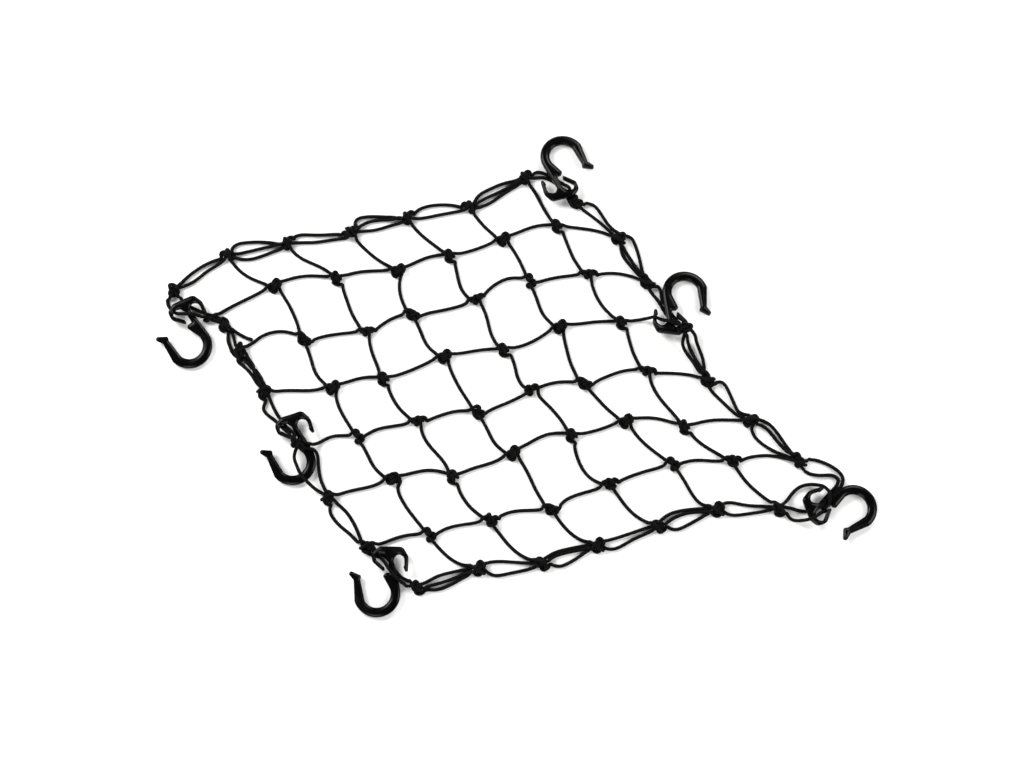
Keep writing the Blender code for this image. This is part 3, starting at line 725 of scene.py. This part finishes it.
def hookOutline(step):
    outer = arc(hookShape["throatOuter"], *hookShape["outerArc"], step)
    inner = arc(hookShape["throatInner"], *hookShape["innerArc"], step)
    tip = rounded(foot, outer[-1], inner[0], 4 * step)
    rest = rounded(neckStop + eye + snapArm + finger + shank, inner[-1], outer[0], 4 * step)
    return outer + tip + inner + rest


# A hook's place, in millimetres, and its rotation in the net's frame.
def hookFrame(hook):
    (x, y), turn = hookPlaces[hook]
    lift = hookShape["throatOuter"] * math.sin(tilt)
    rotation = Euler((-tilt, 0, math.radians(turn))).to_matrix()
    return Vector((x - net["middle"][0], y - net["middle"][1], lift)), rotation


settling = {
    "rounds": 90,
    "listEvery": 15,
    "sag": 0.05,
    "bend": 0.10,
    "easing": 0.12,  # how much more the free stretches straighten
    "stiffGive": 0.3,  # stretches that give way less than this don't sag
    "push": 0.7,
    "mostMove": 0.45,
    "clear": 3.15,  # least distance between the middles of two cords
    "listMargin": 1.0,
    "ownReach": 3,  # points along a cord before it presses on itself
    "outlineStep": 12.0,  # degrees, of the outline that the cords meet
    "hookMiddle": (3, -14),
    "hookHalf": (40, 46, 9),  # half its plan, and its height
}


# From places in a hook's plan to every edge of its outline: the ways there and their lengths.
def toOutline(places, outline):
    e = np.roll(outline, -1, axis=0) - outline
    t = ((places[:, None] - outline) * e).sum(2) / np.maximum((e * e).sum(1), 1e-12)
    away = places[:, None] - (outline + np.clip(t, 0, 1)[:, :, None] * e)
    return away, np.sqrt((away * away).sum(2))


# Pushes the cords' middles out of the hooks.
def offHooks(p, moved):
    r = cord["radius"] + hookShape["fuller"]
    outline = np.array([tuple(v) for v in hookOutline(settling["outlineStep"])])
    a, b = outline, np.roll(outline, -1, axis=0)
    e = b - a
    half = hookShape["thickness"] / 2
    (mx, my), (across, down, high) = settling["hookMiddle"], settling["hookHalf"]
    for hook in hookPlaces:
        centre, rotation = hookFrame(hook)
        m = np.array(rotation)
        local = (p - np.array(centre)) @ m
        near = (np.abs(local[:, 0] - mx) < across) & (np.abs(local[:, 1] - my) < down)
        close = np.nonzero(near & (local[:, 2] < high))[0]
        if not len(close):
            continue
        q = local[close]
        away, far = toOutline(q[:, :2], outline)
        k = far.argmin(1)
        rows = np.arange(len(q))
        side, gapTo = away[rows, k], far[rows, k]
        x, y = q[:, 0:1], q[:, 1:2]
        above = (a[:, 1] > y) != (b[:, 1] > y)
        crossing = a[:, 0] + (y - a[:, 1]) / np.where(e[:, 1] == 0, 1e-9, e[:, 1]) * e[:, 0]
        inside = (above & (x < crossing)).sum(1) % 2 == 1
        lateral = np.where(inside, -gapTo, gapTo)
        rise = q[:, 2] - half
        vertical = np.abs(rise) - half
        hit = (lateral < r) & (vertical < r)
        outer = hit & (lateral > 0) & (vertical > 0)
        reach = np.hypot(lateral, vertical)
        shift = np.zeros_like(q)
        direction = side / (gapTo[:, None] + 1e-9) * np.where(inside, -1, 1)[:, None]
        upward = hit & ~outer & (vertical >= lateral)
        sideways = hit & ~outer & ~upward
        corner = outer & (reach < r)
        shift[upward, 2] = (r - vertical[upward]) * np.sign(rise[upward])
        shift[sideways, :2] = direction[sideways] * (r - lateral[sideways])[:, None]
        by = (r - reach[corner]) / (reach[corner] + 1e-9)
        shift[corner, :2] = direction[corner] * (lateral[corner] * by)[:, None]
        shift[corner, 2] = vertical[corner] * by * np.sign(rise[corner])
        moved[close] += shift @ m.T


# Lets every cord sink onto the table and the cords below it.
def settle():
    p = np.concatenate([s["points"] for s in strands])
    give = np.concatenate([s["give"] for s in strands])
    owner = np.concatenate([np.full(len(s["points"]), k) for k, s in enumerate(strands)])
    place = np.concatenate([np.arange(len(s["points"])) for s in strands])
    bounds = np.cumsum([0] + [len(s["points"]) for s in strands])
    for s, b in zip(strands, bounds):
        if s["held"]:
            give[b] = give[b + len(s["points"]) - 1] = 0.0
    linked = owner[:-1] == owner[1:]
    rest = np.linalg.norm(np.diff(p, axis=0), axis=1)
    clear, total = settling["clear"], len(p)
    for turnNumber in range(settling["rounds"]):
        if turnNumber % settling["listEvery"] == 0:
            tree = KDTree(total)
            for k, q in enumerate(p):
                tree.insert(q, k)
            tree.balance()
            reach = clear + settling["listMargin"]
            pairs = [(k, m) for k in range(total) for _, m, _ in tree.find_range(p[k], reach) if m > k]
            i, j = np.array(pairs).T
            keep = (owner[i] != owner[j]) | (place[j] - place[i] > settling["ownReach"])
            keep &= give[i] + give[j] > 0
            i, j = i[keep], j[keep]
        moved = np.zeros_like(p)
        v = p[j] - p[i]
        far = np.sqrt((v * v).sum(1)) + 1e-9
        hit = far < clear
        hi, hj = i[hit], j[hit]
        share = give[hi] + give[hj]
        push = v[hit] * ((clear - far[hit]) / far[hit] * settling["push"] / share)[:, None]
        pushPairs(moved, hi, hj, push * give[hi][:, None], push * give[hj][:, None])
        smooth = np.zeros_like(p)
        inner = linked[:-1] & linked[1:]
        smooth[1:-1][inner] = ((p[:-2] + p[2:]) / 2 - p[1:-1])[inner]
        loose = np.clip((give - settling["stiffGive"]) / (1 - settling["stiffGive"]), 0, 1)
        moved += smooth * (settling["bend"] + settling["easing"] * loose)[:, None]
        moved[:, 2] -= settling["sag"] * loose
        offHooks(p, moved)
        long = np.linalg.norm(moved, axis=1, keepdims=True)
        moved *= np.minimum(1, settling["mostMove"] / (long + 1e-9))
        moved[give == 0] = 0
        p += moved
        for _ in range(2):
            v = np.diff(p, axis=0)
            far = np.linalg.norm(v, axis=1) + 1e-9
            fix = v * (0.5 * (far - rest) / far * linked)[:, None]
            p[:-1] += fix * (give[:-1] > 0)[:, None]
            p[1:] -= fix * (give[1:] > 0)[:, None]
        p[:, 2] = np.maximum(p[:, 2], cord["radius"] + 0.05)
    for s, b in zip(strands, bounds):
        s["points"] = p[b:b + len(s["points"])]


settle()
print("cords settled")


netPieces = bpy.data.collections.new("cargoNet")
bpy.context.scene.collection.children.link(netPieces)


def placed(name, data, collection=bpy.context.scene.collection):
    thing = bpy.data.objects.new(name, data)
    collection.objects.link(thing)
    return thing


# Round tube along the points, with its length and turn as a map for the braid.
def cordMesh(name, points):
    line = curveThrough(points)
    s = along(line)
    rings = max(6, round(s[-1] / cord["ringSpacing"]))
    want = np.linspace(0, s[-1], rings)
    centre = sampled(line, s, want)
    ahead = np.gradient(centre, axis=0)
    ahead /= np.linalg.norm(ahead, axis=1, keepdims=True)
    side = np.cross(ahead[0], (0, 0, 1.0))
    sides, r = cord["sides"], cord["sheath"]
    corners = np.zeros((rings, sides, 3))
    turn = np.arange(sides) * 2 * math.pi / sides
    for k in range(rings):
        side = side - ahead[k] * (side @ ahead[k])
        side /= np.linalg.norm(side)
        up = np.cross(side, ahead[k])
        width = r * (cord["tipWidth"] if k in (0, rings - 1) else 1.0)
        corners[k] = centre[k] + width * (np.cos(turn)[:, None] * side + np.sin(turn)[:, None] * up)
    tips = centre[[0, -1]] + ahead[[0, -1]] * [[-cord["tipLength"]], [cord["tipLength"]]]
    verts = np.concatenate([corners.reshape(-1, 3), tips]) * mm
    k, c = np.meshgrid(np.arange(rings - 1), np.arange(sides), indexing="ij")
    onward = (c + 1) % sides
    here, there = k * sides, (k + 1) * sides
    quads = np.stack([there + c, there + onward, here + onward, here + c], 2)
    rim, lastRing = np.arange(sides), (rings - 1) * sides
    tipA = np.full(sides, rings * sides)
    capA = np.stack([tipA, (rim + 1) % sides, rim], 1)
    capB = np.stack([tipA + 1, lastRing + rim, lastRing + (rim + 1) % sides], 1)
    mesh = bpy.data.meshes.new(name)
    mesh.from_pydata(verts.tolist(), [], quads.reshape(-1, 4).tolist() + capA.tolist() + capB.tolist())
    braid = mesh.uv_layers.new(name="braid")
    run = want / (2 * math.pi * r)
    uv = np.zeros((len(mesh.loops), 2))
    uv[:quads.size, 0] = np.stack([run[k + 1], run[k + 1], run[k], run[k]], 2).ravel()
    uv[:quads.size, 1] = np.stack([c, c + 1, c + 1, c], 2).ravel() / sides
    braid.data.foreach_set("uv", uv.ravel())
    mesh.validate()
    mesh.shade_smooth()
    return placed(name, mesh, netPieces), centre * mm


class Wire:  # a shader socket that takes part in plain arithmetic
    def __init__(self, look, socket):
        self.look, self.socket = look, socket

    def maths(self, operation, *values):
        return self.look.add("ShaderNodeMath", {"operation": operation}, values)

    def __add__(self, other):
        return self.maths("ADD", self, other)

    def __sub__(self, other):
        return self.maths("SUBTRACT", self, other)

    def __rsub__(self, other):
        return self.maths("SUBTRACT", other, self)

    def __mul__(self, other):
        return self.maths("MULTIPLY", self, other)

    def __mod__(self, other):
        return self.maths("FLOORED_MODULO", self, other)

    def __pow__(self, other):
        return self.maths("POWER", self, other)

    __radd__, __rmul__ = __add__, __mul__

    def halfWave(self):  # rises from 0 to 1 and falls again while the wire goes from 0 to 1
        return self.maths("SINE", self * math.pi)


class Finish:  # one material and its nodes
    def __init__(self, name, **constants):
        self.material = bpy.data.materials.new(name)
        self.material.use_nodes = True
        self.tree = self.material.node_tree
        self.shader = self.tree.nodes["Principled BSDF"]
        for socket, value in constants.items():
            self.shader.inputs[socket.replace("_", " ")].default_value = value

    def add(self, kind, settings=None, values=(), out=0):
        node = self.tree.nodes.new(kind)
        for name, value in (settings or {}).items():
            setattr(node, name, value)
        pairs = values.items() if isinstance(values, dict) else enumerate(values)
        for socket, value in pairs:
            if isinstance(value, Wire):
                self.tree.links.new(value.socket, node.inputs[socket])
            else:
                node.inputs[socket].default_value = value
        return Wire(self, node.outputs[out])

    def feed(self, socket, wire):
        self.tree.links.new(wire.socket, self.shader.inputs[socket])

    def blend(self, amount, low, high):  # a Mix node's colour sockets share their names, so numbers
        return self.add("ShaderNodeMix", {"data_type": "RGBA"}, {0: amount, 6: low, 7: high}, out=2)

    def noise(self, scale, detail, at=None):
        at = at or self.add("ShaderNodeTexCoord", out="Object")
        return self.add("ShaderNodeTexNoise", None, {"Scale": scale, "Detail": detail, "Vector": at})

    def above(self, wire, least, most):  # 0 up to the least value and 1 from the most
        return self.add("ShaderNodeMapRange", None, {0: wire, 1: least, 2: most})

    def bump(self, strength, distance, height):
        values = {"Strength": strength, "Distance": distance, "Height": height}
        self.feed("Normal", self.add("ShaderNodeBump", None, values))


braidLook = {
    "yarns": 8,  # yarns each way round the cord
    "slant": 0.62,  # yarns along a length equal to the girth, as a share of those round it
    # The two braid tones are painted shade for the grooves between yarns and a painted highlight for
    # the yarn tops.
    "grooveShade": (0.0003, 0.0003, 0.0004, 1),
    "light": (0.0030, 0.0030, 0.0032, 1),
    "worn": (0.0080, 0.0078, 0.0076, 1),
    "wear": 0.7,
    "fibres": 2600.0,
    "patches": 38.0,
    "rough": 0.74,
    "bump": 0.00032,
}


# Braided sheath: two families of yarns that cross over and under each other.
def braidedCord():
    look = Finish("braidedCord", Specular_IOR_Level=0.06)
    braid = look.add("ShaderNodeUVMap", {"uv_map": "braid"})
    run, turn = [look.add("ShaderNodeSeparateXYZ", None, (braid,), axis) for axis in "XY"]
    yarns, slant = braidLook["yarns"], braidLook["yarns"] * braidLook["slant"]
    one, two = run * slant + turn * yarns, run * slant - turn * yarns
    inOne, inTwo = one % 1.0, two % 1.0
    over = ((one - inOne) + (two - inTwo)) % 2.0
    ridge = over * inOne.halfWave() + (1.0 - over) * inTwo.halfWave()
    crown = (over * inTwo + (1.0 - over) * inOne).halfWave()
    fibres = look.noise(braidLook["fibres"], 3.0)
    patches = look.noise(braidLook["patches"], 2.0)
    height = (ridge ** 0.55) * (0.55 + crown * 0.45) + fibres * 0.22
    # Colour follows the yarns' height: painted shade in the grooves, painted highlight on the yarn
    # tops.
    base = look.blend((ridge ** 1.4) * (0.35 + crown * 0.65), braidLook["grooveShade"], braidLook["light"])
    base = look.blend((patches - 0.42) * braidLook["wear"] * ridge, base, braidLook["worn"])
    look.feed("Base Color", base)
    look.feed("Roughness", braidLook["rough"] - ridge * 0.16 + fibres * 0.06)
    look.bump(0.75, braidLook["bump"], height)
    return look.material


mouldLook = {
    "black": (0.0004, 0.0004, 0.0005, 1),
    "scuffed": (0.0022, 0.0022, 0.0025, 1),
    "rough": 0.18,
    "grain": 1500.0,
    "flow": 55.0,
    "scratches": (60.0, 900.0, 300.0),
    "bump": 0.00012,
}


# Black moulded plastic, glossy, with a faint grain and rubbed places.
def mouldedPlastic():
    look = Finish("mouldedPlastic", Specular_IOR_Level=0.10)
    at = look.add("ShaderNodeTexCoord", out="Object")
    grain = look.noise(mouldLook["grain"], 2.0, at)
    flow = look.noise(mouldLook["flow"], 4.0, at)
    drawn = look.add("ShaderNodeVectorMath", {"operation": "MULTIPLY"}, (at, mouldLook["scratches"]))
    rubbed = look.above(flow, 0.52, 0.72)
    lines = look.above(look.noise(1.0, 3.0, drawn), 0.6, 0.75)
    worn = rubbed * 0.55 + lines * 0.2
    look.feed("Base Color", look.blend(worn, mouldLook["black"], mouldLook["scuffed"]))
    look.feed("Roughness", mouldLook["rough"] + rubbed * 0.12 + lines * 0.08 + grain * 0.05)
    look.bump(0.25, mouldLook["bump"], grain * 0.6 + flow + lines * 0.3)
    return look.material


tableLook = {
    "colours": ((0.795, 0.793, 0.785, 1), (0.835, 0.833, 0.826, 1)),
    "clouds": 7.0,
    "size": 6.0,
    "top": -0.0001,
}


def paleTable():
    look = Finish("paleTable", Roughness=0.7, Specular_IOR_Level=0.2)
    look.feed("Base Color", look.blend(look.noise(tableLook["clouds"], 2.0), *tableLook["colours"]))
    return look.material


studio = {
    "lens": 80.4,
    "sensor": 36.0,
    "clip": (0.05, 50.0),
    "camera": (0.0, -606.4, 2114.8),
    "world": 0.2,
    "boxes": [  # softboxes: place, metres across, power
        ("keyLight", (-1500, 900, 1500), 1.25, 66.0),
        ("backLight", (900, 1700, 1300), 1.1, 35.0),
        ("sideLight", (1900, -300, 1300), 1.2, 35.0),
        ("frontLight", (-500, -1900, 1100), 1.2, 33.0),
    ],
}


def makeCamera():
    data = bpy.data.cameras.new("studioCamera")
    data.lens, data.sensor_width = studio["lens"], studio["sensor"]
    data.clip_start, data.clip_end = studio["clip"]
    camera = placed("studioCamera", data)
    place = Vector(fromTable(*studio["camera"])) * mm
    forward = (Vector(fromTable(0, 0, 0)) * mm - place).normalized()
    right = Vector(unit(net["tableTurn"]))
    right = (right - forward * right.dot(forward)).normalized()
    up = right.cross(forward)
    axes = Matrix((right, up, -forward)).transposed()
    camera.matrix_world = Matrix.Translation(place) @ axes.to_4x4()
    bpy.context.scene.camera = camera


def makeStudio():
    world = bpy.data.worlds.new("studio")
    world.use_nodes = True
    background = world.node_tree.nodes["Background"]
    background.inputs["Color"].default_value = (1, 1, 1, 1)
    background.inputs["Strength"].default_value = studio["world"]
    bpy.context.scene.world = world
    bpy.context.scene.view_settings.view_transform = "Standard"
    for name, place, size, power in studio["boxes"]:
        data = bpy.data.lights.new(name, "AREA")
        data.shape, data.size, data.energy = "DISK", size, power
        light = placed(name, data)
        light.location = Vector(fromTable(*place)) * mm
        light.rotation_euler = (-light.location).to_track_quat("-Z", "Y").to_euler()
    mesh = bpy.data.meshes.new("table")
    shape = bmesh.new()
    bmesh.ops.create_grid(shape, x_segments=2, y_segments=2, size=tableLook["size"])
    shape.to_mesh(mesh)
    shape.free()
    mesh.materials.append(paleTable())
    table = placed("table", mesh)
    table.location.z = tableLook["top"]


makeCamera()
makeStudio()
print("studio set up")

cordFinish = braidedCord()
for s in strands:
    piece, centre = cordMesh(s["name"], s["points"])
    piece.data.materials.append(cordFinish)
    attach(piece, "root")
    if s["solid"]:
        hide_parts(s["solid"])
print("cords made:", len(strands))


# Rounds both faces down towards the outline, so that every arm has an oval section.
def crown(mesh, outline):
    count = len(mesh.vertices)
    co = np.empty(count * 3)
    mesh.vertices.foreach_get("co", co)
    co = co.reshape(-1, 3)
    corners = np.array([tuple(v) for v in outline])
    parts = np.array_split(co[:, :2] / mm, hookShape["parts"])
    depth = np.concatenate([toOutline(part, corners)[1].min(1) for part in parts])
    inward = 1 - np.clip(depth / hookShape["crown"], 0, 1)
    co[:, 2] *= hookShape["rim"] + (1 - hookShape["rim"]) * np.sqrt(1 - inward ** 2)
    mesh.vertices.foreach_set("co", co.ravel())


# An object's mesh with its modifiers applied, in place of the object.
def applied(thing):
    bpy.context.view_layer.update()
    mesh = bpy.data.meshes.new_from_object(thing.evaluated_get(bpy.context.evaluated_depsgraph_get()))
    bpy.data.objects.remove(thing)
    return mesh


# Flat moulding of the outline with its edges rounded over.
def hookMesh():
    outline = hookOutline(hookShape["arcStep"])
    curve = bpy.data.curves.new("hookOutline", "CURVE")
    curve.dimensions, curve.fill_mode = "2D", "BOTH"
    curve.extrude = (hookShape["thickness"] / 2 + hookShape["swell"]) * mm
    curve.offset = (hookShape["swell"] + hookShape["fuller"]) * mm
    spline = curve.splines.new("POLY")
    spline.points.add(len(outline) - 1)
    spline.use_cyclic_u = True
    for point, place in zip(spline.points, outline):
        point.co = (place.x * mm, place.y * mm, 0, 1)
    mesh = applied(placed("hookBlank", curve))
    shape = bmesh.new()
    shape.from_mesh(mesh)
    bmesh.ops.remove_doubles(shape, verts=shape.verts, dist=1e-6)
    shape.to_mesh(mesh)
    shape.free()
    rough = placed("hookRough", mesh)
    remesh = rough.modifiers.new("evenSkin", "REMESH")
    remesh.mode, remesh.voxel_size = "VOXEL", hookShape["voxel"] * mm
    soften = rough.modifiers.new("roundEdges", "SMOOTH")
    soften.factor, soften.iterations = hookShape["softening"], hookShape["smoothing"]
    final = applied(rough)
    crown(final, outline)
    final.name = "mouldedHook"
    final.shade_smooth()
    return final


hookBody = hookMesh()
hookBody.materials.clear()
hookBody.materials.append(mouldedPlastic())
for hook in hookPlaces:
    piece = placed("moulded_hook_%s" % hook, hookBody.copy(), netPieces)
    place, rotation = hookFrame(hook)
    place = place + rotation @ Vector((0, 0, hookShape["thickness"] / 2))
    piece.data.transform(Matrix.Translation(place * mm) @ rotation.to_4x4())
    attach(piece, "root")
    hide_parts("hook_%s" % hook)
print("hooks made:", len(hookPlaces))
